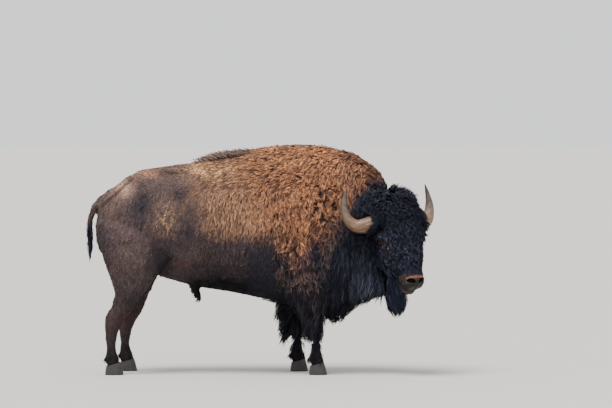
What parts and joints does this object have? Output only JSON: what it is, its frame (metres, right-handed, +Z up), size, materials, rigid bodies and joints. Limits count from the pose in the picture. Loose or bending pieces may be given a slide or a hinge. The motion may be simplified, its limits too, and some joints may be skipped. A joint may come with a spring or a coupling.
{
  "type": "bison",
  "caption": "American bison bull standing with its head turned to its right: hump, shaggy cape, beard, curved horns and cloven hooves. A still, life-size museum model.",
  "frame": {"origin": "centre of the bounding box's bottom, on the floor between the hooves", "axes": "+X towards the front of the trunk, +Y to the animal's left, +Z up; the head is turned about 60 degrees towards -Y"},
  "size_m": [2.6884, 0.8738, 1.7755],
  "materials": {
    "coat_rust": "matte woolly hair",
    "coat_brown": "matte short hair",
    "coat_black": "matte long hair",
    "horn": "satin horn",
    "hoof": "satin horn",
    "eye": "glossy"
  },
  "bodies": {
    "root": {"barrel": "coat_rust", "beard": "coat_black", "chin": "coat_black", "ear_left": "coat_black", "ear_right": "coat_black", "eye_left": "eye", "eye_right": "eye", "fore_cannon_left": "coat_brown", "fore_cannon_right": "coat_brown", "fore_hoof_left_inner": "hoof", "fore_hoof_left_outer": "hoof", "fore_hoof_right_inner": "hoof", "fore_hoof_right_outer": "hoof", "fore_pastern_left": "coat_brown", "fore_pastern_right": "coat_brown", "foreleg_left": "coat_black", "foreleg_right": "coat_black", "gaskin_left": "coat_brown", "gaskin_right": "coat_brown", "head": "coat_black", "hind_cannon_left": "coat_brown", "hind_cannon_right": "coat_brown", "hind_hoof_left_inner": "hoof", "hind_hoof_left_outer": "hoof", "hind_hoof_right_inner": "hoof", "hind_hoof_right_outer": "hoof", "hind_pastern_left": "coat_brown", "hind_pastern_right": "coat_brown", "horn_left": "horn", "horn_right": "horn", "lower_jaw": "coat_black", "muzzle": "coat_black", "neck": "coat_black", "rump": "coat_brown", "scrotum": "coat_brown", "sheath": "coat_black", "shoulders": "coat_rust", "tail": "coat_brown", "tail_tuft": "coat_black", "thigh_left": "coat_brown", "thigh_right": "coat_brown"}
  },
  "joints": []
}
